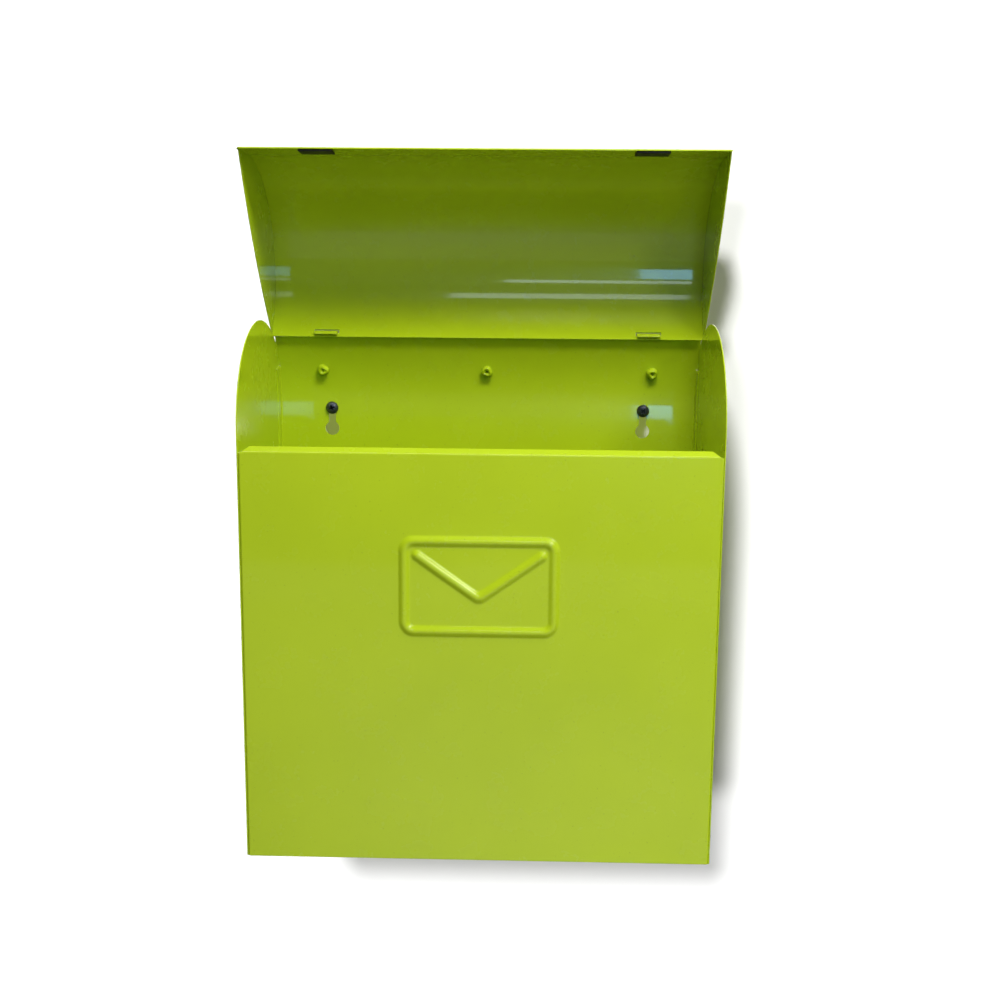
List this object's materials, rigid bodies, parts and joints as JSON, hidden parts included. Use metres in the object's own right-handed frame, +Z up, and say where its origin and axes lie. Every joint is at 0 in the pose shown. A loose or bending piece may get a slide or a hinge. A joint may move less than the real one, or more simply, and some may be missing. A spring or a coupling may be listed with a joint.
{
  "type": "wall mounted mailbox",
  "caption": "Wall mounted sheet steel mailbox with a curved lift-up lid, keyhole slots for wall screws and an embossed envelope on its front.",
  "frame": {"origin": "on the rear face of the back panel, midway between the seats of the two wall screws at the tops of the keyholes", "axes": "+Y into the wall, so the front faces -Y; +Z up; +X to the right of a person facing the front"},
  "size_m": [0.286, 0.1429, 0.4221],
  "materials": {
    "lime_powder_coat": "gloss",
    "black_rubber": "matte",
    "black_oxide_steel": "satin"
  },
  "bodies": {
    "box": {"front_panel": "lime_powder_coat", "left_side_panel": "lime_powder_coat", "right_side_panel": "lime_powder_coat", "back_panel": "lime_powder_coat", "bottom_panel": "lime_powder_coat", "hinge_strip": "lime_powder_coat", "rivet_left": "lime_powder_coat", "rivet_centre": "lime_powder_coat", "rivet_right": "lime_powder_coat", "wall_screw_left": "black_oxide_steel", "wall_screw_right": "black_oxide_steel"},
    "lid": {"lid_cover": "lime_powder_coat", "lid_left_cheek": "lime_powder_coat", "lid_right_cheek": "lime_powder_coat", "lid_pad_left": "black_rubber", "lid_pad_right": "black_rubber"}
  },
  "joints": [
    {"name": "lid_hinge", "type": "hinge", "parent": "box", "child": "lid", "pos_m": [0, -0.013, 0.0487], "axis": [1, 0, 0], "range_deg": [0, 90]}
  ]
}
